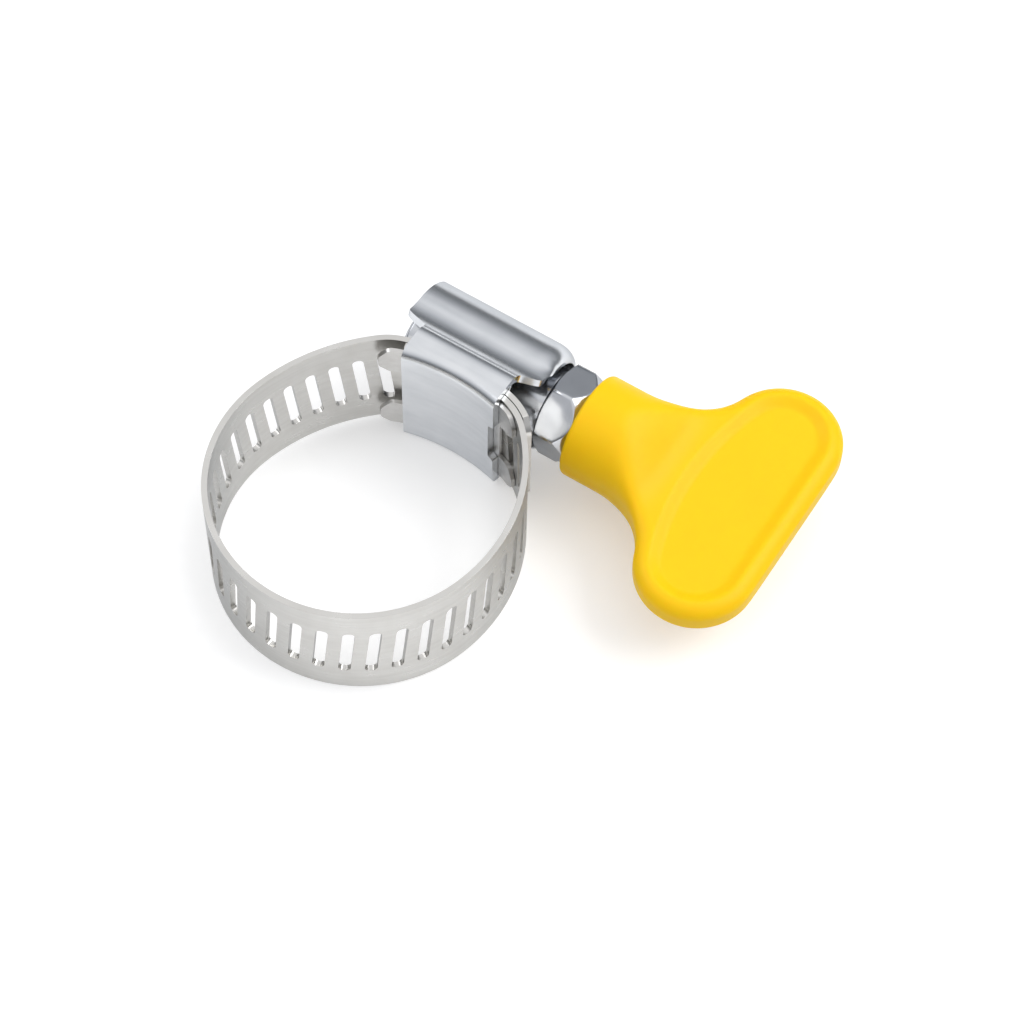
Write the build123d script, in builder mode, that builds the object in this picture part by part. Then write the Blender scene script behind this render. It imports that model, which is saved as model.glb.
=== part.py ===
from build123d import *
from math import asin, atan, atan2, ceil, copysign, cos, degrees, floor, pi, radians, sin, sqrt, tan
import os

# Worm drive hose clamp with a moulded thumb key. Lengths are millimetres, angles degrees.
# The origin is on the axis of the hose bore, at the middle of the band's width.
# +Z runs along the bore, +Y points to the screw housing and +X along the screw to the key.

# Hose and band
hose_radius = 13.55
band_width = 12.7
band_thickness = 0.56
slot_pitch = 2.36
slot_length = 6.8
slot_width = 1.1
slot_phase = -0.75
tail_length = 0.3
tail_chamfer = 1.2
exit_bend_radius = 6.0
fixed_bend_angle = 30.0
free_bend_angle = 26.0
layer_gap = 0.08

# Housing, one sheet stamping
housing_shift = 0.9
sheet = 0.7
plate_radius = 19.5
plate_length = 10.2
arch_reach_left = 7.55
arch_reach_right = 7.1
valley_radius = 0.9
shoulder_radius = 1.15
shoulder_chord_count = 2
lip_round = 1.2
lip_chord_count = 3
mouth_clearance = 0.25
notch_height = 5.4
notch_depth = 0.65
edge_clearance = 0.1
roof_clearance = 0.15
seat_gap = 0.04
overrun = 1.0

# Saddle, the insert strip between plate and band
saddle_thickness = 0.4
saddle_inset = 0.35
finger_gap = 5.4
finger_length = 2.4
finger_corner_share = 0.3
tang_height_share = 0.8
tang_width_share = 0.5

# Worm screw
thread_radius = 4.2
thread_depth = 0.58
thread_flank = 30.0
thread_root_sink = 0.1
engagement = 0.5
screw_clearance = 0.55
screw_tip = 2.4
end_clearance = 0.3
head_gap = 0.35
hex_side_count = 6
hex_across_flats = 8.0
hex_length = 3.7
hex_chamfer = 0.5
hex_key_chamfer = 1.3
hex_turn = 42.0
spigot_across_flats = 5.0
spigot_lead = 2.6

# Thumb key
key_turn = 1.0
boss_radius = 5.15
socket_clearance = 0.04
wing_span = 26.9
lobe_radius = 5.7
wing_reach = 22.0
wing_thickness = 3.6
wing_edge_round = 1.5
waist_radius = 4.5
waist_lead = 1.88
edge_chord_count = 2
wing_flat = 11.8
neck_run = 5.8
rim_width = 1.9
panel_length = 10.8
panel_depth = 0.6

# Layers inside the housing, as radii about the centre of the curved plate
plate_centre = Vector(housing_shift, hose_radius - plate_radius)
saddle_radius = plate_radius + sheet + seat_gap + saddle_thickness / 2
fixed_radius = saddle_radius + saddle_thickness / 2 + seat_gap + band_thickness / 2
layer_step = band_thickness + layer_gap
free_radius = fixed_radius + layer_step
band_top = plate_centre.Y + free_radius + band_thickness / 2
roof_inside = band_top + roof_clearance
roof_outside = roof_inside + sheet
screw_height = band_top - engagement + thread_radius
screw_axis = Axis((0, screw_height, 0), (1, 0, 0))
exit_angle = degrees(asin(plate_length / 2 / plate_radius))

# Places along the key, from the boss's face
neck_end = wing_reach - wing_flat
boss_length = neck_end - neck_run
spigot_length = boss_length + spigot_lead
panel_reach = wing_reach - panel_length


def direction(angle):
    """Unit vector at an angle from +X."""
    return Vector(cos(radians(angle)), sin(radians(angle)))


def arc_length(arc):
    """Length of an arc given as centre, radius, start angle and end angle."""
    centre, radius, start, end = arc
    return radius * radians(abs(end - start))


def way_out(layer_radius, side, bend_angle):
    """Arcs that lead one band layer out of the housing and tangent into the round loop.

    A short bend of exit_bend_radius follows the housing's layer. Then one easy arc touches the loop from
    outside: its radius makes the distance between both centres equal to the difference of both radii.
    """
    loop_radius = hose_radius + band_thickness / 2
    leave = 90 - side * exit_angle
    turned = leave - side * bend_angle
    bend_centre = plate_centre + direction(leave) * (layer_radius - exit_bend_radius)
    bend_end = bend_centre + direction(turned) * exit_bend_radius
    beyond = bend_end.dot(direction(turned)) - loop_radius
    easy_radius = (bend_end.length**2 - loop_radius**2) / (2 * beyond)
    easy_centre = bend_end - direction(turned) * easy_radius
    touch = degrees(atan2(-easy_centre.Y, -easy_centre.X))
    bend = (bend_centre, exit_bend_radius, leave, turned)
    easy = (easy_centre, easy_radius, turned, touch)
    return bend, easy


# The band's middle line, from the fixed end clockwise round the loop to the tail over the fixed end
loop_radius = hose_radius + band_thickness / 2
fixed_bend, fixed_easy = way_out(fixed_radius, 1, fixed_bend_angle)
free_bend, free_easy = way_out(free_radius, -1, free_bend_angle)
tail_radius = fixed_easy[1] + layer_step
tail_angle = degrees(tail_length / tail_radius)
band_arcs = [
    (plate_centre, fixed_radius, 90 + exit_angle, 90 - exit_angle),
    fixed_bend,
    fixed_easy,
    (Vector(0, 0), loop_radius, fixed_easy[3], free_easy[3] - 360),
    (free_easy[0], free_easy[1], free_easy[3], free_easy[2]),
    (free_bend[0], free_bend[1], free_bend[3], free_bend[2]),
    (plate_centre, free_radius, 90 + exit_angle, 90 - exit_angle),
    (fixed_bend[0], fixed_bend[1] + layer_step, fixed_bend[2], fixed_bend[3]),
    (fixed_easy[0], tail_radius, fixed_easy[2], fixed_easy[2] - tail_angle),
]
band_length = sum(arc_length(arc) for arc in band_arcs)
mesh_place = sum(arc_length(arc) for arc in band_arcs[:6]) + free_radius * radians(exit_angle) + slot_phase


def band_frame(place):
    """Plane on the band's middle line at a length from the fixed end: x along the bore, z outward."""
    for centre, radius, start, end in band_arcs:
        length = radius * radians(abs(end - start))
        if place <= length:
            angle = start - degrees(place / radius)
            break
        place -= length
    outward = direction(angle)
    return Plane(origin=centre + outward * radius, x_dir=(0, 0, 1), z_dir=outward)


def strip(arcs, thickness):
    """Outline of a bent strip: the same tangent arcs on both faces, closed across the two ends."""
    faces = []
    for shift in (-thickness / 2, thickness / 2):
        run = [CenterArc(c, r + shift, a, b - a) for c, r, a, b in arcs]
        faces.append((run[0] @ 0, run[-1] @ 1))
    Line(faces[0][0], faces[1][0])
    Line(faces[0][1], faces[1][1])


def rounded_slab(outline, plane, half, edge_round, chords):
    """Slab of an outline, half to each side of a plane, its edges rounded in chords of a quarter circle."""
    turns = [90 * count / chords for count in range(chords + 1)]
    with BuildPart() as slab:
        with BuildSketch(plane):
            with BuildLine():
                outline(0)
            make_face()
        extrude(amount=half - edge_round, both=True)
        for turn, next_turn in zip(turns, turns[1:]):
            low, high = (edge_round * sin(radians(angle)) for angle in (turn, next_turn))
            inset = edge_round * (1 - cos(radians(turn)))
            for side in (-1, 1):
                with BuildSketch(plane.offset(side * (half - edge_round + low))):
                    with BuildLine():
                        outline(inset)
                    make_face()
                extrude(amount=high - low, dir=plane.z_dir * side, taper=(turn + next_turn) / 2)
    return slab.part


# Slots stand one pitch apart along the whole strip and lean with the worm's helix
slot_tilt = degrees(atan(slot_pitch / (2 * pi * (thread_radius - thread_depth / 2))))
end_margin = slot_pitch / 2 + slot_width / 2
first_slot = ceil((end_margin - mesh_place) / slot_pitch)
last_slot = floor((band_length - end_margin - mesh_place) / slot_pitch)
slot_places = [mesh_place + count * slot_pitch for count in range(first_slot, last_slot + 1)]
slot_reach = band_thickness / 2 + layer_gap / 2
slot_lean = slot_length / 2 * tan(radians(slot_tilt))

with BuildPart() as band:
    with BuildSketch(Plane.XY):
        with BuildLine():
            strip(band_arcs, band_thickness)
        make_face()
    extrude(amount=band_width / 2, both=True)
    tail_end = band.faces().filter_by(GeomType.PLANE).filter_by(Axis.Z, reverse=True).sort_by(Axis.X)[-1]
    chamfer(tail_end.edges().filter_by(Axis.Z, reverse=True), tail_chamfer)
    with BuildSketch(*[band_frame(place) for place in slot_places]):
        Polygon(
            (-slot_length / 2, slot_lean - slot_width / 2),
            (slot_length / 2, -slot_lean - slot_width / 2),
            (slot_length / 2, -slot_lean + slot_width / 2),
            (-slot_length / 2, slot_lean + slot_width / 2),
        )
    extrude(amount=slot_reach, both=True, mode=Mode.SUBTRACT)

# The channel that the layers run through, between the plate and the flat roof
channel_half = band_width / 2 + edge_clearance
shoulder_half = channel_half + sheet
channel_radius = plate_radius + sheet
channel_angle = degrees(asin((arch_reach_left + overrun) / channel_radius))
with BuildPart() as channel:
    with BuildSketch(Plane.XY):
        with BuildLine():
            floor_arc = CenterArc(plate_centre, channel_radius, 90 - channel_angle, 2 * channel_angle)
            roof_right = (floor_arc @ 0).X
            roof_left = (floor_arc @ 1).X
            Polyline(floor_arc @ 0, (roof_right, roof_inside), (roof_left, roof_inside), floor_arc @ 1)
        make_face()
    extrude(amount=channel_half, both=True)

# Inside of the arch, a round bore with a narrower mouth in its right end
arch_inside = thread_radius + screw_clearance
arch_outside = arch_inside + sheet
mouth_radius = thread_radius - thread_depth + mouth_clearance
arch_left = housing_shift - arch_reach_left
arch_right = housing_shift + arch_reach_right
lip_start = arch_right - lip_round
with BuildPart() as arch_bore:
    with BuildSketch(Plane.XY):
        with BuildLine():
            Polyline(
                (arch_left - overrun, screw_height),
                (arch_left - overrun, screw_height + arch_inside),
                (arch_right - sheet, screw_height + arch_inside),
                (arch_right - sheet, screw_height + mouth_radius),
                (arch_right + overrun, screw_height + mouth_radius),
                (arch_right + overrun, screw_height),
                close=True,
            )
        make_face()
    revolve(axis=screw_axis)

flange_half = shoulder_half - shoulder_radius


def wrap_outline(inset):
    """Wrap seen along the bore: curved plate below and flat roof above, left long at both ends."""
    plate_arc = CenterArc(plate_centre, plate_radius + inset, 90 + channel_angle, -2 * channel_angle)
    wrap_roof = roof_outside - inset
    Polyline(plate_arc @ 1, ((plate_arc @ 1).X, wrap_roof), ((plate_arc @ 0).X, wrap_roof), plate_arc @ 0)


wrap = rounded_slab(wrap_outline, Plane.XY, shoulder_half, shoulder_radius, shoulder_chord_count)
with BuildPart() as housing:
    # Sheet wrapped round the band, with bends along both sides and straight cut ends
    add(wrap)
    with Locations((housing_shift, roof_outside, 0)):
        Box(plate_length, plate_radius, 2 * (shoulder_half + overrun), mode=Mode.INTERSECT)
    # Arch over the screw with a concave valley to the roof on both sides
    with BuildSketch(Plane.YZ.offset(arch_left)):
        with Locations((screw_height, 0)):
            Circle(arch_outside)
        with Locations((roof_outside, 0)):
            Rectangle(arch_outside / 2, 2 * flange_half, align=(Align.MAX, Align.CENTER))
        valley = vertices().group_by(Axis.X)[-2].sort_by(Axis.Y)[1:3]
        fillet(valley, valley_radius)
    extrude(amount=lip_start - arch_left)
    # Right end of the arch, drawn in round the screw's neck
    with BuildSketch(Plane.XY):
        with BuildLine():
            lip_centre = Vector(lip_start, screw_height + arch_outside - lip_round)
            lip_turns = [90 - 90 * count / lip_chord_count for count in range(lip_chord_count + 1)]
            lip = [lip_centre + direction(turn) * lip_round for turn in lip_turns]
            Polyline((lip_start, screw_height), *lip, (arch_right, screw_height), close=True)
        make_face()
    revolve(axis=screw_axis)
    add(channel.part, mode=Mode.SUBTRACT)
    add(arch_bore.part, mode=Mode.SUBTRACT)
    # Notch in the plate's right edge
    notch_edge = plate_centre + direction(90 - exit_angle) * channel_radius
    with Locations((notch_edge.X - notch_depth, notch_edge.Y + sheet, 0)):
        Box(overrun + notch_depth, 2 * sheet + overrun, notch_height, align=(Align.MIN, Align.MAX, Align.CENTER),
            mode=Mode.SUBTRACT)

# Saddle strip: the plate's curve, then fingers that follow the bends of the band
saddle_half = band_width / 2 - saddle_inset
left_radius = exit_bend_radius - (free_radius - saddle_radius)
right_radius = exit_bend_radius - (fixed_radius - saddle_radius)
left_turn = degrees(finger_length / left_radius)
right_turn = degrees(finger_length / right_radius)
saddle_arcs = [
    (free_bend[0], left_radius, 90 + exit_angle + left_turn, 90 + exit_angle),
    (plate_centre, saddle_radius, 90 + exit_angle, 90 - exit_angle),
    (fixed_bend[0], right_radius, 90 - exit_angle, 90 - exit_angle - right_turn),
]
finger_width = saddle_half - finger_gap / 2
plate_edges = [plate_centre + direction(90 + side * exit_angle) * saddle_radius for side in (-1, 1)]
fixed_slots = [place for place in slot_places if place < arc_length(band_arcs[0]) - end_margin]
with BuildPart() as saddle:
    with BuildSketch(Plane.XY):
        with BuildLine():
            strip(saddle_arcs, saddle_thickness)
        make_face()
    extrude(amount=saddle_half, both=True)
    for edge in plate_edges:
        outward = copysign(finger_length, edge.X - housing_shift)
        with Locations((edge.X + outward, edge.Y, 0)):
            Box(2 * finger_length, 2 * finger_length, finger_gap, mode=Mode.SUBTRACT)
    corners = saddle.edges().filter_by(GeomType.LINE).group_by(SortBy.LENGTH)[0].sort_by(Axis.X)
    chamfer(corners[:4] + corners[-4:], finger_width * finger_corner_share)
    # Tangs that stand in two slots of the fixed end and hold it
    for place in (fixed_slots[0], fixed_slots[-1]):
        with BuildSketch(band_frame(place).offset(saddle_radius - fixed_radius)):
            Rectangle(slot_length * tang_width_share, slot_width - 2 * seat_gap, rotation=-slot_tilt)
        extrude(amount=fixed_radius - saddle_radius + band_thickness * (tang_height_share - 1 / 2))

# Worm screw, turned about its axis from the tip to the spigot in the key
core_radius = thread_radius - thread_depth
thread_left = housing_shift - arch_reach_left + screw_tip
thread_right = lip_start - end_clearance
hex_start = arch_right + head_gap
hex_end = hex_start + hex_length
mesh_x = housing_shift + slot_phase
root_half = (thread_depth + thread_root_sink) * tan(radians(thread_flank))
helix_start = mesh_x - slot_pitch / 4 - slot_pitch * floor((mesh_x - slot_pitch / 4 - thread_left) / slot_pitch)
helix_turns = floor((thread_right - root_half - helix_start) / slot_pitch * 2) / 2
corner_radius = hex_across_flats / 2 / cos(pi / hex_side_count)
with BuildPart() as worm_screw:
    with BuildSketch(Plane.XY):
        with BuildLine():
            Polyline(
                (arch_left, screw_height),
                (arch_left, screw_height + core_radius),
                (hex_start, screw_height + core_radius),
                (hex_start, screw_height),
                close=True,
            )
        make_face()
    revolve(axis=screw_axis)
    with BuildSketch(Plane.YZ.offset(hex_start)):
        with Locations((screw_height, 0)):
            RegularPolygon(hex_across_flats / 2, hex_side_count, major_radius=False, rotation=hex_turn)
    extrude(amount=hex_length)
    # Chamfers of the hex's corners, turned on the lathe: a narrow one to the housing, a wide one to the key
    chamfers = (hex_start, hex_chamfer, 2 * hex_chamfer), (hex_end, -hex_key_chamfer, hex_key_chamfer)
    for face_x, along, deep in chamfers:
        with BuildSketch(Plane.XY):
            with BuildLine():
                Polyline(
                    (face_x, screw_height + corner_radius - deep),
                    (face_x, screw_height + corner_radius + deep),
                    (face_x + along, screw_height + corner_radius + deep),
                    (face_x + along, screw_height + corner_radius),
                    close=True,
                )
            make_face()
        revolve(axis=screw_axis, mode=Mode.SUBTRACT)
    with BuildSketch(Plane.YZ.offset(hex_end)):
        with Locations((screw_height, 0)):
            RegularPolygon(spigot_across_flats / 2, hex_side_count, major_radius=False, rotation=hex_turn)
    extrude(amount=spigot_length)
    # Worm thread, a sharp ridge swept along a right-handed helix
    with BuildLine():
        worm_line = Helix(
            slot_pitch, helix_turns * slot_pitch, core_radius, (helix_start, screw_height, 0), (1, 0, 0)
        )
    with BuildSketch(Plane(origin=worm_line @ 0, x_dir=(0, 0, 1), z_dir=worm_line % 0)):
        with BuildLine():
            Polyline(
                (-thread_root_sink, -root_half),
                (thread_depth, 0),
                (-thread_root_sink, root_half),
                close=True,
            )
        make_face()
    sweep(path=worm_line, is_frenet=True)

# Thumb key in its own frame: x from the boss face along the screw, y across the wing
key_frame = Plane(
    origin=(hex_end, screw_height, 0),
    x_dir=(1, 0, 0),
    z_dir=(0, -sin(radians(key_turn)), cos(radians(key_turn))),
)
wing_half = wing_thickness / 2
lobe = Vector(wing_reach - lobe_radius, wing_span / 2 - lobe_radius)
waist_rise = boss_radius + waist_radius - lobe.Y
waist = Vector(lobe.X - sqrt((lobe_radius + waist_radius) ** 2 - waist_rise**2), boss_radius + waist_radius)
waist_angle = degrees(atan2(waist_rise, lobe.X - waist.X))
wing_start = waist.X - waist_lead
neck_fall = boss_radius - wing_half
neck_slope = 2 * degrees(atan(neck_fall / neck_run))
neck_radius = neck_run / (2 * sin(radians(neck_slope)))


def wing_outline(inset):
    """Wing seen from above, drawn inset from its outer edge: two round lobes and a waist that meets the boss."""
    Line((wing_reach - inset, 0), (wing_reach - inset, lobe.Y))
    CenterArc(lobe, lobe_radius - inset, 0, 180 - waist_angle)
    CenterArc(waist, waist_radius + inset, -waist_angle, waist_angle - 90)
    Polyline((waist.X, boss_radius - inset), (wing_start, boss_radius - inset), (wing_start, 0))
    mirror(about=Plane.XZ)


panel_lobe = lobe_radius - rim_width
panel_gap = lobe.X - panel_reach
panel_radius = (panel_gap**2 + lobe.Y**2 - panel_lobe**2) / (2 * (panel_gap - panel_lobe))
panel_centre = Vector(panel_reach + panel_radius, 0)
panel_angle = degrees(atan2(lobe.Y, lobe.X - panel_centre.X))

wing = rounded_slab(wing_outline, key_frame, wing_half, wing_edge_round, edge_chord_count)
with BuildPart() as thumb_key:
    # Round boss, cut down on both faces along a double bend to the wing's thickness
    with BuildSketch(Plane(key_frame.origin, x_dir=key_frame.y_dir, z_dir=key_frame.x_dir)):
        Circle(boss_radius)
    extrude(amount=neck_end)
    with BuildSketch(Plane(key_frame.origin, x_dir=key_frame.x_dir, z_dir=-key_frame.y_dir)):
        with BuildLine():
            bend_down = CenterArc((boss_length, boss_radius - neck_radius), neck_radius, 90, -neck_slope)
            bend_out = CenterArc((neck_end, wing_half + neck_radius), neck_radius, 270 - neck_slope, neck_slope)
            top = boss_radius + overrun
            Polyline(bend_out @ 1, (neck_end + overrun, wing_half), (neck_end + overrun, top), (boss_length, top),
                     bend_down @ 0)
        make_face()
        mirror(about=Plane.XZ)
    extrude(amount=boss_radius + overrun, both=True, mode=Mode.SUBTRACT)
    # Flat wing with two round lobes and a waist that meets the boss
    add(wing)
    # Sunk panel on both faces
    with BuildSketch(key_frame.offset(wing_half), key_frame.offset(-wing_half)):
        with BuildLine():
            Line((wing_reach - rim_width, 0), (wing_reach - rim_width, lobe.Y))
            CenterArc(lobe, panel_lobe, 0, panel_angle)
            CenterArc(panel_centre, panel_radius, panel_angle, 180 - panel_angle)
            mirror(about=Plane.XZ)
        make_face()
    extrude(amount=panel_depth, both=True, mode=Mode.SUBTRACT)
    # Socket that holds the screw's spigot
    with BuildSketch(Plane.YZ.offset(hex_end)):
        with Locations((screw_height, 0)):
            socket_half = spigot_across_flats / 2 + socket_clearance
            RegularPolygon(socket_half, hex_side_count, major_radius=False, rotation=hex_turn)
    extrude(amount=spigot_length + socket_clearance, mode=Mode.SUBTRACT)

pieces = {"band": band, "housing": housing, "saddle": saddle, "worm_screw": worm_screw, "thumb_key": thumb_key}
os.makedirs("parts", exist_ok=True)
for name, piece in pieces.items():
    piece.part.label = name
    export_step(piece.part, f"parts/{name}.step")
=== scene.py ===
import bmesh
import bpy
import numpy as np
from mathutils import Matrix, Vector


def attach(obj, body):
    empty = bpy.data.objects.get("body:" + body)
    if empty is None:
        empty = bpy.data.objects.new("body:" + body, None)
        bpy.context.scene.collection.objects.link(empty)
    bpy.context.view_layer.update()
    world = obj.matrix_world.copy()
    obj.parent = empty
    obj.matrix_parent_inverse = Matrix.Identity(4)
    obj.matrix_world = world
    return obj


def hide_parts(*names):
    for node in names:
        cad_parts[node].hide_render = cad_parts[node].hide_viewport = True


# A worm drive hose clamp with a moulded thumb key, lying flat on a white table.
# Sizes are millimetres and angles degrees until a mesh is made; the row's frame is metres.
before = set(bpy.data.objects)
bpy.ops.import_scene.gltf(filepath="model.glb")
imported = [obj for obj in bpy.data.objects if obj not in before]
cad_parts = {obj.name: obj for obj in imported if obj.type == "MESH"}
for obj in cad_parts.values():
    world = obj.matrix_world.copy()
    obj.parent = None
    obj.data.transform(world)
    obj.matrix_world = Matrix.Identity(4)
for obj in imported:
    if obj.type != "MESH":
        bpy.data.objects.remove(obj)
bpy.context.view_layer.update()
MM = 0.001

# Band
hose_radius, band_width, band_thickness = 13.55, 12.7, 0.56
slot_pitch, slot_length, slot_width, slot_phase, slot_corner = 2.36, 6.8, 1.1, -0.75, 0.5
tail_length, tail_chamfer, layer_gap = 0.3, 1.2, 0.08
exit_bend_radius, fixed_bend_angle, free_bend_angle = 6.0, 30.0, 26.0
band_rim = 0.1

# Housing
housing_shift, sheet = 0.9, 0.7
plate_radius, plate_length = 19.5, 10.2
arch_reach_left, arch_reach_right, lip_round, lip_run = 7.55, 7.1, 1.2, 2.0
valley_radius, upper_shoulder, upper_height, lower_shoulder = 4.65, 1.95, 15.55, 1.15
step_start, step_share = 0.5, 0.4
lip_fade_start, lip_fade_rows = 10, 18
notch_height, notch_depth, notch_corner = 5.4, 0.65, 0.25
edge_clearance, seat_gap = 0.1, 0.04
housing_rim = 0.12

# Saddle
saddle_thickness, finger_bevel, finger_segments = 0.4, 0.3, 4
thickness_spread, blunt_from, blunt_to, saddle_sharp = 0.1, 30, 60, 35

# Screw
thread_radius, thread_depth, engagement, screw_clearance, head_gap = 4.2, 0.58, 0.5, 0.55, 0.35
hex_length, hex_turn, spigot_across_flats, spigot_length = 3.7, 42.0, 5.0, 7.0
hex_across_flats, hex_chamfer, hex_key_chamfer, hex_key_drop, tip_chamfer = 8.0, 0.5, 1.3, 0.75, 0.3
thread_from, thread_to, thread_flank, thread_phase = -2.8, 5.46, 30.0, 0.15

# Thumb key
key_turn, boss_radius, boss_rim, socket_clearance = 1.0, 5.15, 0.4, 0.04
wing_span, wing_reach, wing_thickness, wing_edge_round = 26.9, 22.0, 3.6, 1.5
lobe_radius, waist_radius = 5.7, 7.0
fan_start, fan_end, fan_power, fan_blend = 3.6, 12.0, 5.0, 0.9
rim_width, panel_length, panel_depth, panel_slope = 1.9, 10.8, 0.55, 1.5

# Fineness of the meshes: points along each curve, distances within which points are joined, and sharp edges
band_rows, slot_columns, end_columns = 29, 17, 13
slot_rings = np.array([0, 0.1, 0.3, 0.6, 1.0])
arch_points, dip_points, upper_points, side_points, lower_points = 48, 24, 12, 12, 14
plate_points, notch_points, straight_rows, lip_rows = 12, 9, 40, 13
shaft_rows, near_rows, far_rows, screw_step = 200, 10, 16, 2.0
rim_rows, boss_rows, waist_rows, lobe_rows, key_columns = 8, 40, 40, 90, 181
band_weld, saddle_weld, screw_weld, key_weld = 0.005, 0.002, 0.001, 0.002
rim_segments, rim_angle, flat_angle, sharp_angle = 2, 50, 0.5, 60

# Layers inside the housing, as radii about the centre of the curved plate
plate_centre = np.array([housing_shift, hose_radius - plate_radius])
saddle_radius = plate_radius + sheet + seat_gap + saddle_thickness / 2
fixed_radius = saddle_radius + saddle_thickness / 2 + seat_gap + band_thickness / 2
layer_step = band_thickness + layer_gap
free_radius = fixed_radius + layer_step
loop_radius = hose_radius + band_thickness / 2
band_top = plate_centre[1] + free_radius + band_thickness / 2
screw_height = band_top - engagement + thread_radius
exit_angle = np.degrees(np.arcsin(plate_length / 2 / plate_radius))
arch_left = housing_shift - arch_reach_left
arch_right = housing_shift + arch_reach_right
hex_end = arch_right + head_gap + hex_length


def heading(angle):
    """Unit vectors in the plane at angles from +X."""
    return np.stack([np.cos(np.radians(angle)), np.sin(np.radians(angle))], axis=-1)


def smoothstep(value):
    """Rises from 0 to 1 as value does, level at both ends: 3t^2 - 2t^3."""
    t = np.clip(value, 0, 1)
    return t * t * (3 - 2 * t)


def soft_max(a, b, width):
    """Larger of two heights, rounded off where their gap is small: max + (width - gap)^2 / 4 width."""
    near = np.clip(width - np.abs(a - b), 0, None)
    return np.maximum(a, b) + near * near / (4 * width)


def grid_faces(rows, columns, closed=False):
    """Corner numbers of the quads of a grid of points, row after row, closed round the columns or not."""
    row, column = np.meshgrid(np.arange(rows - 1), np.arange(columns - (not closed)), indexing="ij")
    beside = (column + 1) % columns
    here, after = row * columns, (row + 1) * columns
    return np.stack([here + column, after + column, after + beside, here + beside], axis=-1).reshape(-1, 4)


def make_piece(name, points, faces, uv=None, merge=0.0):
    """Smooth mesh object from points in millimetres and corner numbers, with a flat map or without."""
    mesh = bpy.data.meshes.new(name)
    mesh.from_pydata((points * MM).tolist(), [], [list(face) for face in faces])
    if uv is not None:
        corner = np.empty(len(mesh.loops), dtype=np.int32)
        mesh.loops.foreach_get("vertex_index", corner)
        mesh.uv_layers.new(name="sheet").data.foreach_set("uv", (uv[corner] * MM).ravel())
    shape = bmesh.new()
    shape.from_mesh(mesh)
    if merge:
        bmesh.ops.remove_doubles(shape, verts=shape.verts, dist=merge * MM)
    bmesh.ops.recalc_face_normals(shape, faces=shape.faces)
    shape.to_mesh(mesh)
    shape.free()
    mesh.polygons.foreach_set("use_smooth", np.ones(len(mesh.polygons), dtype=bool))
    piece = bpy.data.objects.new(name, mesh)
    bpy.context.collection.objects.link(piece)
    return piece


def thicken(piece, thickness, rim):
    """Gives a sheet its thickness to both sides and breaks its cut edges."""
    wall = piece.modifiers.new("sheet", "SOLIDIFY")
    wall.thickness, wall.offset, wall.use_even_offset = thickness * MM, 0, True
    edge = piece.modifiers.new("cut_edges", "BEVEL")
    edge.width, edge.segments, edge.limit_method = rim * MM, rim_segments, "ANGLE"
    edge.angle_limit, edge.harden_normals = np.radians(rim_angle), True


# Band


def way_out(layer_radius, side, bend_angle):
    """Arcs that lead a layer out of the housing and into the loop: centre, radius, start and end angle.

    A short bend follows the housing's layer. The easy arc after it touches the loop from outside: the
    distance between both centres is the difference of both radii.
    """
    leave = 90 - side * exit_angle
    turned = leave - side * bend_angle
    bend_centre = plate_centre + heading(leave) * (layer_radius - exit_bend_radius)
    bend_end = bend_centre + heading(turned) * exit_bend_radius
    beyond = bend_end @ heading(turned) - loop_radius
    easy_radius = (bend_end @ bend_end - loop_radius**2) / (2 * beyond)
    easy_centre = bend_end - heading(turned) * easy_radius
    touch = np.degrees(np.arctan2(-easy_centre[1], -easy_centre[0]))
    return (bend_centre, exit_bend_radius, leave, turned), (easy_centre, easy_radius, turned, touch)


fixed_bend, fixed_easy = way_out(fixed_radius, 1, fixed_bend_angle)
free_bend, free_easy = way_out(free_radius, -1, free_bend_angle)
tail_radius = fixed_easy[1] + layer_step
band_arcs = [
    (plate_centre, fixed_radius, 90 + exit_angle, 90 - exit_angle),
    fixed_bend,
    fixed_easy,
    (np.zeros(2), loop_radius, fixed_easy[3], free_easy[3] - 360),
    (free_easy[0], free_easy[1], free_easy[3], free_easy[2]),
    (free_bend[0], free_bend[1], free_bend[3], free_bend[2]),
    (plate_centre, free_radius, 90 + exit_angle, 90 - exit_angle),
    (fixed_bend[0], fixed_bend[1] + layer_step, fixed_bend[2], fixed_bend[3]),
    (fixed_easy[0], tail_radius, fixed_easy[2], fixed_easy[2] - np.degrees(tail_length / tail_radius)),
]
under_worm = 6
arc_centres = np.array([arc[0] for arc in band_arcs])
arc_radii = np.array([arc[1] for arc in band_arcs])
arc_starts = np.array([arc[2] for arc in band_arcs])
arc_lengths = arc_radii * np.radians([abs(arc[3] - arc[2]) for arc in band_arcs])
arc_places = np.concatenate([[0], np.cumsum(arc_lengths)])
band_length = arc_places[-1]
mesh_place = arc_places[under_worm] + free_radius * np.radians(exit_angle) + slot_phase

# Heights across the band as shares of half its width, closer together at its edges
band_rise = np.sin(np.radians(np.linspace(-90, 90, band_rows)))


def bend_strip(flat):
    """Points of the flat strip, length and height, laid along the arcs: angle = start - length / radius."""
    place = flat[..., 0]
    arc = np.clip(np.searchsorted(arc_places, place, side="right") - 1, 0, len(band_arcs) - 1)
    angle = arc_starts[arc] - np.degrees((place - arc_places[arc]) / arc_radii[arc])
    plan = arc_centres[arc] + heading(angle) * arc_radii[arc][..., None]
    return np.concatenate([plan, flat[..., 1:]], axis=-1)


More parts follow.
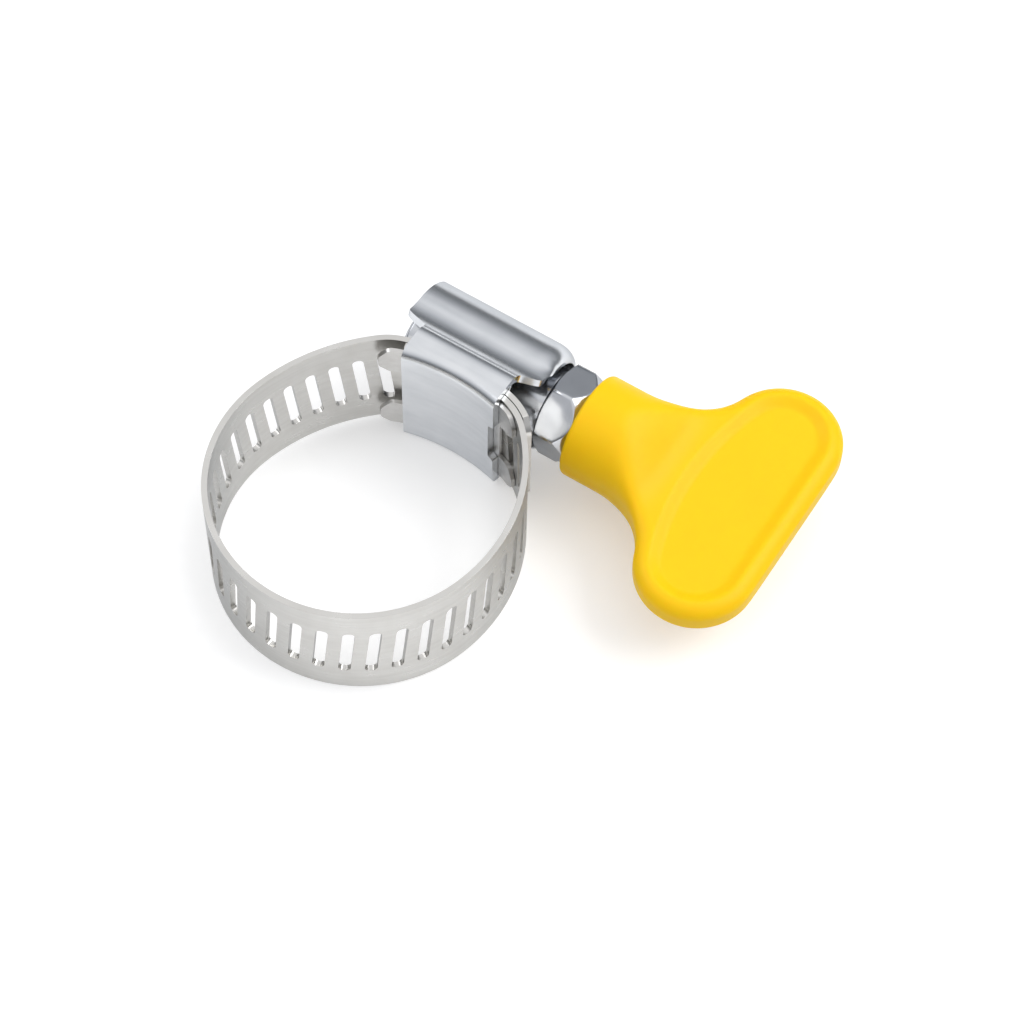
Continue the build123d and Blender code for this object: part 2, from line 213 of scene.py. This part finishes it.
def band_cells(places, lean):
    """Flat cells of the strip, one round each slot.

    A ray runs from each point of the cell's rectangle to the same share of the slot's rectangle, whose
    corners are rounded: point = core + corner * unit(outer - core). Rings between both make the grid, and
    every height moves a point sideways by lean.
    """
    across = np.linspace(-1, 1, slot_columns)[1:-1]
    right = np.stack([np.ones_like(band_rise), band_rise], axis=-1)
    top = np.stack([-across, np.ones_like(across)], axis=-1)
    square = np.concatenate([right, top, -right, -top])
    half = np.array([slot_width, slot_length]) / 2
    core = np.clip(square * half, slot_corner - half, half - slot_corner)
    away = square * half - core
    inner = core + slot_corner * away / np.linalg.norm(away, axis=-1, keepdims=True)
    outer = square * np.array([slot_pitch, band_width]) / 2
    cell = inner + (outer - inner) * slot_rings[:, None, None]
    cell[..., 0] -= lean * cell[..., 1]
    cells = np.repeat(cell[None], len(places), axis=0)
    cells[..., 0] += places[:, None, None]
    faces = grid_faces(len(slot_rings), len(square), closed=True)
    step = len(slot_rings) * len(square)
    faces = (faces[None] + step * np.arange(len(places))[:, None, None]).reshape(-1, 4)
    return cells.reshape(-1, 2), faces


def band_end(from_place, end_place, chamfered, lean):
    """Flat grid from the leaning border of the last cell to the strip's end, whose corners may be cut off."""
    height = band_rise * band_width / 2
    cut = chamfered * np.clip(np.abs(height) - band_width / 2 + tail_chamfer, 0, None)
    start = from_place - lean * height
    end = end_place - np.sign(end_place - from_place) * cut
    share = np.linspace(0, 1, end_columns)[:, None]
    place = start + (end - start) * share
    flat = np.stack([place, np.broadcast_to(height, place.shape)], axis=-1)
    return flat.reshape(-1, 2), grid_faces(len(share), len(height))


def make_band():
    """Slotted strip: the cells and both ends in the flat, bent as one along the arcs."""
    lean = slot_pitch / (2 * np.pi * (thread_radius - thread_depth / 2))
    margin = slot_pitch / 2 + slot_width / 2
    first = np.ceil((margin - mesh_place) / slot_pitch)
    last = np.floor((band_length - margin - mesh_place) / slot_pitch)
    places = mesh_place + slot_pitch * np.arange(first, last + 1)
    parts = [
        band_cells(places, lean),
        band_end(places[0] - slot_pitch / 2, 0.0, 0, lean),
        band_end(places[-1] + slot_pitch / 2, band_length, 1, lean),
    ]
    counts = np.cumsum([0] + [len(flat) for flat, _ in parts])
    flat = np.concatenate([flat for flat, _ in parts])
    faces = np.concatenate([corners + count for (_, corners), count in zip(parts, counts)])
    piece = make_piece("slotted_band", bend_strip(flat), faces, uv=flat, merge=band_weld)
    thicken(piece, band_thickness, band_rim)
    return piece


# Housing


def housing_profile():
    """Half of the sheet's middle line across the band, from the arch's crown to the middle of the plate.

    The arch runs on into the shoulder through a hollow that touches both circles: its centre lies at the sum
    of the radii from each. Beside the line come the share of the plate's curve that each point follows, the
    share of the lip that draws it in, and where its left end, its turn and its right end lie along the screw.
    """
    arch_middle = thread_radius + screw_clearance + sheet / 2
    valley = valley_radius + sheet / 2
    side_z = band_width / 2 + edge_clearance + sheet / 2
    shoulder, low_shoulder = upper_shoulder - sheet / 2, lower_shoulder - sheet / 2
    axis = np.array([0, screw_height])
    corner = np.array([side_z - shoulder, upper_height])
    apart = np.linalg.norm(corner - axis)
    unit = (corner - axis) / apart
    along = ((arch_middle + valley) ** 2 - (shoulder + valley) ** 2 + apart**2) / (2 * apart)
    aside = np.sqrt((arch_middle + valley) ** 2 - along**2)
    valley_centre = axis + along * unit + aside * np.array([-unit[1], unit[0]])
    foot = np.degrees(np.arctan2(*(valley_centre - axis)))
    meet = np.degrees(np.arctan2(*(valley_centre - corner)))
    plate_y = plate_centre[1] + plate_radius + sheet / 2

    arch = axis + arch_middle * heading(90 - np.linspace(0, foot, arch_points))
    dip = valley_centre + valley * heading(90 - np.linspace(foot - 180, meet - 180, dip_points)[1:])
    upper = corner + shoulder * heading(90 - np.linspace(meet, 90, upper_points)[1:])
    lower_corner = np.array([side_z - low_shoulder, plate_y + low_shoulder])
    lower = lower_corner + low_shoulder * heading(np.linspace(0, -90, lower_points)[1:])
    side = np.linspace(upper[-1], [side_z, plate_y + low_shoulder], side_points)[1:]
    notch_edge = notch_height / 2
    plate_z = np.concatenate([
        np.linspace(lower_corner[0], notch_edge + notch_corner, plate_points)[1:],
        notch_edge + notch_corner * np.linspace(1, -1, notch_points)[1:],
        np.linspace(notch_edge - notch_corner, 0, plate_points)[1:],
    ])
    plate = np.stack([plate_z, np.full_like(plate_z, plate_y)], -1)
    line = np.concatenate([arch, dip, upper, side, lower, plate])

    counts = np.cumsum([len(part) for part in (arch, dip, upper, side, lower)])
    arch_count, upper_count, lower_count = counts[[0, 2, 4]]
    index = np.arange(len(line))
    in_dip = np.clip((index - arch_count + 1) / len(dip), 0, 1)
    follows = np.clip((index - upper_count + 1) / len(side), 0, 1)
    wrap_left, wrap_right = housing_shift - plate_length / 2, housing_shift + plate_length / 2
    lip_start = arch_right - lip_run
    step = smoothstep((in_dip - step_start) / step_share)
    left = arch_left + (wrap_left - arch_left) * step
    notch = smoothstep((notch_edge + notch_corner - line[:, 0]) / (2 * notch_corner)) * (index >= lower_count)
    drawn = 1 - smoothstep((index - arch_count + lip_fade_start) / lip_fade_rows)
    arch_end = arch_right - sheet / 2
    right = arch_end + (arch_right - edge_clearance - arch_end) * (1 - drawn)
    right = right + (wrap_right - right) * step - notch_depth * notch
    start = lip_start + (wrap_right - lip_run - lip_start) * step - notch_depth * notch
    return line, follows, drawn, left, start, right


def make_housing():
    """One stamped sheet: the profile carried along the screw.

    x runs straight from the left end to the turn and then as the sine of a quarter turn, in which the arch
    is drawn in towards the screw's axis by lip * (1 - cosine). The plate's share follows its circle about the
    bore side.
    """
    line, follows, drawn, left, start, right = housing_profile()
    straight = np.linspace(0, 1, straight_rows)[:, None]
    quarter = np.radians(np.linspace(0, 90, lip_rows)[1:, None])
    x = np.concatenate([left + (start - left) * straight, start + (right - start) * np.sin(quarter)])
    draw = np.concatenate([np.zeros_like(straight), 1 - np.cos(quarter)]) * (lip_round - sheet / 2) * drawn
    z, y = np.broadcast_to(line[:, 0], x.shape), np.broadcast_to(line[:, 1], x.shape)
    middle = plate_radius + sheet / 2
    y = y + follows * (np.sqrt(middle**2 - (x - housing_shift) ** 2) - middle)
    reach = np.hypot(z, y - screw_height)
    z, y = z * (1 - draw / reach), screw_height + (y - screw_height) * (1 - draw / reach)
    half = np.stack([x, y, z], axis=-1)
    other = half[:, -2:0:-1] * np.array([1, 1, -1])
    loop = np.concatenate([half, other], axis=1)
    rows, columns = loop.shape[:2]
    along = np.concatenate([[0], np.cumsum(np.linalg.norm(np.diff(loop[0], axis=0), axis=-1))])
    flat = np.stack([loop[..., 0], np.broadcast_to(along, (rows, columns))], axis=-1)
    faces = grid_faces(rows, columns, closed=True)
    piece = make_piece("stamped_housing", loop.reshape(-1, 3), faces, uv=flat.reshape(-1, 2))
    thicken(piece, sheet, housing_rim)
    return piece


# Saddle


def make_saddle():
    """The saddle's solid with its triangles joined, smooth but for its sharp edges.

    The fingers' corners are rounded off: edges about as long as the sheet is thick, between faces that meet
    at a blunt angle.
    """
    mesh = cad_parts["saddle"].data.copy()
    mesh.name = "band_saddle"
    shape = bmesh.new()
    shape.from_mesh(mesh)
    bmesh.ops.remove_doubles(shape, verts=shape.verts, dist=saddle_weld * MM)
    bmesh.ops.dissolve_limit(shape, angle_limit=np.radians(flat_angle), verts=shape.verts, edges=shape.edges)
    spread = thickness_spread * saddle_thickness
    short = [edge for edge in shape.edges if abs(edge.calc_length() / MM - saddle_thickness) < spread]
    blunt = [edge for edge in short if blunt_from < np.degrees(edge.calc_face_angle(0)) < blunt_to]
    bmesh.ops.bevel(
        shape, geom=blunt, offset=finger_bevel * MM, segments=finger_segments, profile=0.5, affect="EDGES"
    )
    shape.to_mesh(mesh)
    shape.free()
    mesh.polygons.foreach_set("use_smooth", np.ones(len(mesh.polygons), dtype=bool))
    mesh.set_sharp_from_angle(angle=np.radians(saddle_sharp))
    piece = bpy.data.objects.new("band_saddle", mesh)
    bpy.context.collection.objects.link(piece)
    level = piece.modifiers.new("flats", "WEIGHTED_NORMAL")
    level.keep_sharp = True
    return piece


# Screw


def make_screw():
    """Turned screw as a radius over place and angle: the smaller one of the turned profile and the hexagon.

    The hexagon's radius is apothem / cos(angle to the flat). The thread is a ridge on the core, depth * (1 -
    |offset| / half width), where the offset from the helix is the place less pitch * angle / turn, wrapped to
    a pitch. The hexagon of the shaft's rows is too large to cut them.
    """
    core = thread_radius - thread_depth
    corner = hex_across_flats / 2 / np.cos(np.radians(30))
    hex_start = hex_end - hex_length
    spigot_end = hex_end + spigot_length
    way = hex_turn + np.arange(0, 360, screw_step)
    shaft = np.linspace(arch_left + tip_chamfer, hex_start, shaft_rows)
    near = np.linspace(0, 1, near_rows)
    far = np.linspace(0, 1, far_rows)
    tip_x, tip_radius = [arch_left, arch_left], [0, core - tip_chamfer]
    spigot_x, spigot_radius = [hex_end, spigot_end, spigot_end], [corner, corner, 0]
    x = np.concatenate([
        tip_x, shaft, hex_start + hex_chamfer * near, hex_end - hex_key_chamfer * (1 - far), spigot_x,
    ])
    turned = np.concatenate([
        tip_radius,
        np.full(len(shaft), core),
        corner - 2 * hex_chamfer * (1 - near),
        corner - hex_key_drop * far,
        spigot_radius,
    ])
    counts = [len(tip_x) + len(shaft), len(near) + len(far), len(spigot_x)]
    apothem = np.repeat([2 * corner, hex_across_flats / 2, spigot_across_flats / 2], counts)
    hexagon = apothem[:, None] / np.cos(np.radians((way - hex_turn) % 60 - 30))
    radius = np.minimum(turned[:, None], hexagon)
    past_helix = x[:, None] - thread_phase - slot_pitch * (way - 180) / 360
    offset = (past_helix + slot_pitch / 2) % slot_pitch - slot_pitch / 2
    ridge = np.clip(1 - np.abs(offset) / (thread_depth * np.tan(np.radians(thread_flank))), 0, 1)
    cut = (x >= thread_from) & (x <= thread_to)
    radius = radius + thread_depth * ridge * cut[:, None]
    around = heading(way)
    along = np.broadcast_to(x[:, None], radius.shape)
    points = np.stack([along, screw_height + radius * around[:, 0], radius * around[:, 1]], -1)
    faces = grid_faces(*radius.shape, closed=True)
    piece = make_piece("worm_and_hex", points.reshape(-1, 3), faces, merge=screw_weld)
    piece.data.set_sharp_from_angle(angle=np.radians(sharp_angle))
    return piece


# Thumb key


def make_key():
    """Moulded key in slices across the screw's axis, each a closed loop of its upper and lower face.

    Half width follows the outline: boss, concave waist arc, round lobe. Upper height is the soft larger one
    of the wing, whose edge is a quarter circle of the distance to the outline, and of the boss, which fans
    out flat into it: height * (1 - |y / width|^n)^(1/n), a circle with n = 2 at the boss, lower and squarer
    towards the wing. The panel sinks by a smooth step of the distance to its edge.
    """
    half = wing_thickness / 2
    lobe = np.array([wing_reach - lobe_radius, wing_span / 2 - lobe_radius])
    waist_rise = boss_radius + waist_radius - lobe[1]
    waist_run = np.sqrt((lobe_radius + waist_radius) ** 2 - waist_rise**2)
    waist = np.array([lobe[0] - waist_run, boss_radius + waist_radius])
    waist_angle = np.degrees(np.arctan2(waist_rise, lobe[0] - waist[0]))

    rim = boss_rim * (1 - np.cos(np.radians(np.linspace(0, 90, rim_rows))))
    boss_x = np.concatenate([rim, np.linspace(boss_rim, waist[0], boss_rows)[1:]])
    boss_edge = np.stack([boss_x, np.full_like(boss_x, boss_radius)], -1)
    waist_edge = waist + waist_radius * heading(np.linspace(-90, -waist_angle, waist_rows)[1:])
    lobe_edge = lobe + lobe_radius * heading(np.linspace(180 - waist_angle, 0, lobe_rows)[1:])
    edge = np.concatenate([boss_edge, waist_edge, lobe_edge])
    x = edge[:, :1]
    y = edge[:, 1:] * np.sin(np.radians(np.linspace(90, -90, key_columns)))
    point = np.stack([np.broadcast_to(x, y.shape), np.abs(y)], -1)

    from_lobe = point - lobe
    lobe_way = np.degrees(np.arctan2(from_lobe[..., 1], from_lobe[..., 0]))
    lobe_far = np.linalg.norm(from_lobe, axis=-1)
    from_waist = point - waist
    waist_way = np.degrees(np.arctan2(from_waist[..., 1], from_waist[..., 0]))
    waist_far = np.linalg.norm(from_waist, axis=-1)
    inside = wing_reach - point[..., 0]
    by_lobe = (lobe_way >= 0) & (lobe_way <= 180 - waist_angle)
    inside = np.where(by_lobe, np.minimum(inside, lobe_radius - lobe_far), inside)
    by_waist = (waist_way >= -90) & (waist_way <= -waist_angle)
    inside = np.where(by_waist, np.minimum(inside, waist_far - waist_radius), inside)
    inside = np.where(x < waist[0], boss_radius - point[..., 1], inside)
    edge_in = np.clip(wing_edge_round - inside, 0, wing_edge_round)
    wing = half - wing_edge_round + np.sqrt(wing_edge_round**2 - edge_in**2)

    fan = smoothstep((x - fan_start) / (fan_end - fan_start))
    height = boss_radius + (half - fan_blend - boss_radius) * fan
    power = 2 + (fan_power - 2) * fan
    dome = height * np.clip(1 - (point[..., 1] / edge[:, 1:]) ** power, 0, None) ** (1 / power)
    top = soft_max(wing, dome, fan_blend)

    panel_lobe = lobe_radius - rim_width
    panel_reach = wing_reach - panel_length
    panel_gap = lobe[0] - panel_reach
    panel_radius = (panel_gap**2 + lobe[1] ** 2 - panel_lobe**2) / (2 * (panel_gap - panel_lobe))
    panel_centre = np.array([panel_reach + panel_radius, 0])
    panel_angle = np.degrees(np.arctan2(lobe[1], lobe[0] - panel_centre[0]))
    panel_far = np.linalg.norm(point - panel_centre, axis=-1)
    in_panel = np.minimum(wing_reach - rim_width - point[..., 0], panel_radius - panel_far)
    round_end = (lobe_way >= 0) & (lobe_way <= panel_angle)
    in_panel = np.where(round_end, np.minimum(in_panel, panel_lobe - lobe_far), in_panel)
    top = top - panel_depth * smoothstep(in_panel / panel_slope + 0.5)

    rounding = np.clip(boss_rim - x, 0, boss_rim)
    shrink = (boss_radius - boss_rim + np.sqrt(boss_rim**2 - rounding**2)) / boss_radius
    y, top = y * shrink, top * shrink
    loop_y = np.concatenate([y, y[:, ::-1]], axis=1)
    loop_z = np.concatenate([top, -top[:, ::-1]], axis=1)
    loop_x = np.broadcast_to(x, loop_y.shape)

    # Socket for the screw's spigot: the end face runs in to a hexagon, then to its depth and its middle
    way = np.degrees(np.arctan2(loop_z[0], loop_y[0]))
    flat_way = np.radians((way + key_turn - hex_turn) % 60 - 30)
    hexagon = (spigot_across_flats / 2 + socket_clearance) / np.cos(flat_way)[:, None] * heading(way)
    depth = spigot_length + socket_clearance
    rings = ((depth, 0.0), (depth, 1.0), (0.0, 1.0))
    socket = [np.column_stack([np.full(len(way), at), hexagon * size]) for at, size in rings]
    body = np.stack([loop_x, loop_y, loop_z], -1)
    slices = np.concatenate([np.stack(socket), body])
    rows, columns = slices.shape[:2]
    faces = grid_faces(rows, columns, closed=True)
    last = (rows - 1) * columns + np.arange(columns)
    back = last[::-1]
    count = columns // 2
    end = np.stack([last[: count - 1], last[1:count], back[1:count], back[: count - 1]], -1)
    turn = np.radians(key_turn)
    across, up = np.array([0, np.cos(turn), np.sin(turn)]), np.array([0, -np.sin(turn), np.cos(turn)])
    along = np.array([1, 0, 0])
    flat = slices.reshape(-1, 3)
    origin = np.array([hex_end, screw_height, 0])
    points = origin + flat[:, :1] * along + flat[:, 1:2] * across + flat[:, 2:] * up
    piece = make_piece("moulded_key", points, np.concatenate([faces, end]), merge=key_weld)
    piece.data.set_sharp_from_angle(angle=np.radians(sharp_angle))
    return piece


# Materials


def linear(code):
    """Linear colour with full cover from an sRGB hex code."""
    tone = np.array([int(code[i : i + 2], 16) for i in (1, 3, 5)]) / 255
    return (*np.where(tone <= 0.04045, tone / 12.92, ((tone + 0.055) / 1.055) ** 2.4), 1.0)


def add_node(tree, kind, inputs=None, **settings):
    """Adds a node, sets its own settings, and fills or links its inputs by name or number."""
    made = tree.nodes.new(kind)
    for name, value in settings.items():
        setattr(made, name, value)
    for name, value in (inputs or {}).items():
        if isinstance(value, bpy.types.NodeSocket):
            tree.links.new(value, made.inputs[name])
        else:
            made.inputs[name].default_value = value
    return made


def new_material(name):
    """Empty material with its node tree and output."""
    material = bpy.data.materials.new(name)
    material.use_nodes = True
    material.node_tree.nodes.clear()
    return material, material.node_tree, material.node_tree.nodes.new("ShaderNodeOutputMaterial")


def noise(tree, place, size, detail):
    """Noise with grains of about one size in millimetres."""
    inputs = {"Vector": place, "Scale": 1 / (size * MM), "Detail": detail}
    return add_node(tree, "ShaderNodeTexNoise", inputs).outputs["Fac"]


def combine(tree, operation, first, second):
    """Sum, product or larger one of two values."""
    return add_node(tree, "ShaderNodeMath", {0: first, 1: second}, operation=operation).outputs[0]


def blend(tree, share, dark, pale):
    """Colour between two hex codes."""
    inputs = {0: share, 6: linear(dark), 7: linear(pale)}
    return add_node(tree, "ShaderNodeMix", inputs, data_type="RGBA").outputs[2]


def bump(tree, height, distance, strength):
    """Normal of a surface lifted by a height times a distance in millimetres."""
    inputs = {"Height": height, "Distance": distance * MM, "Strength": strength}
    return add_node(tree, "ShaderNodeBump", inputs).outputs["Normal"]


def steel(
    name, pale, dark, rough, rougher, source, stretch, grain, lift=0.0004, cloud=3.0, edge_tint="#C6C8CA"
):
    """Steel with drawn-out streaks: a noise stretched along the rolling or drawing direction.

    The noise moves the colour between two close tones and the roughness between two values, and lifts the
    surface by less than a thousandth of a millimetre. A slower noise adds the cloudy patches of handled
    metal, and a grey tint keeps surfaces seen edge-on from turning white.
    """
    material, tree, output = new_material(name)
    place = add_node(tree, "ShaderNodeTexCoord").outputs[source]
    drawn = add_node(tree, "ShaderNodeMapping", {"Vector": place, "Scale": stretch}).outputs["Vector"]
    streak = noise(tree, drawn, grain, 3.0)
    mixed = combine(tree, "ADD", streak, noise(tree, place, cloud, 4.0))
    level = add_node(tree, "ShaderNodeMapRange", {0: mixed, 1: 0.5, 2: 1.5}).outputs[0]
    surface = add_node(
        tree,
        "ShaderNodeBsdfPrincipled",
        {
            "Base Color": blend(tree, level, dark, pale),
            "Metallic": 1.0,
            "Specular Tint": linear(edge_tint),
            "Roughness": add_node(tree, "ShaderNodeMapRange", {0: level, 3: rougher, 4: rough}).outputs[0],
            "Normal": bump(tree, streak, lift, 1.0),
        },
    )
    tree.links.new(surface.outputs[0], output.inputs["Surface"])
    return material


def key_plastic(patch=8.0, grain=0.35, lift=0.004, scatter=0.8):
    """Injection-moulded polypropylene: warm yellow, satin, with light scattered a little way under the skin.

    A fine grain of the mould breaks the gloss, and a slow noise varies the colour by a few per cent.
    """
    material, tree, output = new_material("moulded_polypropylene_yellow")
    place = add_node(tree, "ShaderNodeTexCoord").outputs["Object"]
    slow = noise(tree, place, patch, 2.0)
    fine = noise(tree, place, grain, 3.0)
    surface = add_node(
        tree,
        "ShaderNodeBsdfPrincipled",
        {
            "Base Color": blend(tree, slow, "#F5C400", "#FACB00"),
            "Roughness": add_node(tree, "ShaderNodeMapRange", {0: fine, 3: 0.42, 4: 0.55}).outputs[0],
            "IOR": 1.49,
            "Specular IOR Level": 0.25,
            "Subsurface Weight": 0.5,
            "Subsurface Radius": (1.0, 0.55, 0.05),
            "Subsurface Scale": scatter * MM,
            "Normal": bump(tree, fine, lift, 0.6),
        },
    )
    tree.links.new(surface.outputs[0], output.inputs["Surface"])
    return material


def table_white(white="#E2E2E2", lift=0.34):
    """White table: a matt surface that keeps the shadow, lifted to white for the eye and for reflections."""
    material, tree, output = new_material("white_table")
    ray = add_node(tree, "ShaderNodeLightPath").outputs
    seen = combine(tree, "MAXIMUM", ray["Is Camera Ray"], ray["Is Glossy Ray"])
    seen = combine(tree, "MAXIMUM", seen, ray["Is Transmission Ray"])
    matt = add_node(tree, "ShaderNodeBsdfDiffuse", {"Color": linear(white)}).outputs[0]
    glow = add_node(tree, "ShaderNodeEmission", {"Strength": combine(tree, "MULTIPLY", seen, lift)}).outputs[0]
    both = add_node(tree, "ShaderNodeAddShader", {0: matt, 1: glow}).outputs[0]
    tree.links.new(both, output.inputs["Surface"])
    return material


band_steel = steel(
    "rolled_stainless_strip", pale="#DAD9D6", dark="#C9C7C3", rough=0.25, rougher=0.33,
    source="UV", stretch=(0.06, 1, 1), grain=0.5,
)
housing_steel = steel(
    "drawn_polished_stainless", pale="#E2E4E7", dark="#CFD2D6", rough=0.2, rougher=0.28,
    source="Object", stretch=(0.1, 1, 1), grain=1.0,
)
saddle_steel = steel(
    "rolled_stainless_insert", pale="#DAD9D7", dark="#C9C7C4", rough=0.27, rougher=0.35,
    source="Object", stretch=(0.1, 1, 1), grain=0.5,
)
screw_steel = steel(
    "zinc_bright_steel", pale="#CFD1D5", dark="#BBBEC3", rough=0.14, rougher=0.22,
    source="Object", stretch=(1, 1, 1), grain=2.0,
)

# Pieces, each in place of its node
dressed = (
    (make_band(), "band", "clamp", "band_steel", band_steel),
    (make_housing(), "housing", "clamp", "housing_steel", housing_steel),
    (make_saddle(), "saddle", "clamp", "saddle_steel", saddle_steel),
    (make_screw(), "worm_screw", "screw", "screw_steel", screw_steel),
    (make_key(), "thumb_key", "screw", "key_plastic", key_plastic()),
)
for piece, node, body, slot, material in dressed:
    piece.data.materials.clear()
    piece.data.materials.append(material)
    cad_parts[node].data.materials.clear()
    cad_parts[node].data.materials.append(material)
    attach(piece, body)
    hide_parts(node)

# The clamp rests on the housing's lower side and on the far edge of the band, so the table slopes a little
housing_rest, table_half, table_gap = 15.0, 900.0, 0.02
rest_near = Vector((0, -(hose_radius + band_thickness), -band_width / 2))
rest_far = Vector((0, housing_rest, -(band_width / 2 + edge_clearance + sheet)))
slope = (rest_far.z - rest_near.z) / (rest_far.y - rest_near.y)
corners = np.array([[-1, -1], [1, -1], [1, 1], [-1, 1]]) * table_half
heights = rest_near.z + slope * (corners[:, 1:] - rest_near.y) - table_gap
table_mesh = bpy.data.meshes.new("table")
table_mesh.from_pydata((np.hstack([corners, heights]) * MM).tolist(), [], [[0, 1, 2, 3]])
table_mesh.materials.append(table_white())
table = bpy.data.objects.new("table", table_mesh)
bpy.context.collection.objects.link(table)

# Room: pale overhead and grey round about
room_tones = ((0.0, "#848688"), (0.12, "#5E6062"), (0.35, "#9A9DA1"), (0.6, "#DEDFE2"), (0.85, "#FCFCFD"))
room_strength = 1.05
world = bpy.data.worlds.new("studio")
bpy.context.scene.world = world
world.use_nodes = True
room = world.node_tree
room.nodes.clear()
way = add_node(room, "ShaderNodeTexCoord").outputs["Generated"]
height = add_node(room, "ShaderNodeSeparateXYZ", {0: way}).outputs["Z"]
tones = add_node(room, "ShaderNodeValToRGB", {0: height})
for place, code in room_tones:
    stop = tones.color_ramp.elements[0] if place == 0 else tones.color_ramp.elements.new(place)
    stop.position, stop.color = place, linear(code)
sky = add_node(room, "ShaderNodeBackground", {"Color": tones.outputs[0], "Strength": room_strength}).outputs[0]
room.links.new(sky, add_node(room, "ShaderNodeOutputWorld").inputs["Surface"])


def soft_box(name, place, aim, width, depth, power):
    """Rectangular lamp in millimetres, turned to face a point."""
    lamp = bpy.data.lights.new(name, "AREA")
    lamp.shape, lamp.size, lamp.size_y, lamp.energy = "RECTANGLE", width * MM, depth * MM, power
    box = bpy.data.objects.new(name, lamp)
    box.location = Vector(place) * MM
    box.rotation_euler = (Vector(aim) - Vector(place)).to_track_quat("-Z", "Y").to_euler()
    bpy.context.collection.objects.link(box)


# Lamps: a wide soft box above and behind, and a weaker one from the left
soft_box("box_behind", place=(240, 190, 330), aim=(10, 5, 0), width=320, depth=220, power=1.0)
soft_box("box_left", place=(-300, -60, 240), aim=(5, 5, 0), width=200, depth=200, power=0.25)

# Camera, high above the near right
camera_place = Vector((84.126, -111.990, 237.016))
camera_right = Vector((0.85446, 0.51952, 0))
camera_up = Vector((-0.44712, 0.73539, 0.50920))
camera_roll = np.radians(1.4)
lens_px, image_px, sensor_mm = 3018.0, 1024.0, 36.0
right = camera_right * np.cos(camera_roll) + camera_up * np.sin(camera_roll)
up = camera_up * np.cos(camera_roll) - camera_right * np.sin(camera_roll)
turned = Matrix((right, up, right.cross(up))).transposed().to_4x4()
view = bpy.data.cameras.new("camera")
view.sensor_width, view.lens = sensor_mm, sensor_mm * lens_px / image_px
view.clip_start, view.clip_end = 0.01, 10.0
camera = bpy.data.objects.new("camera", view)
camera.matrix_world = Matrix.Translation(camera_place * MM) @ turned
bpy.context.collection.objects.link(camera)
bpy.context.scene.camera = camera
bpy.context.scene.view_settings.view_transform = "Standard"
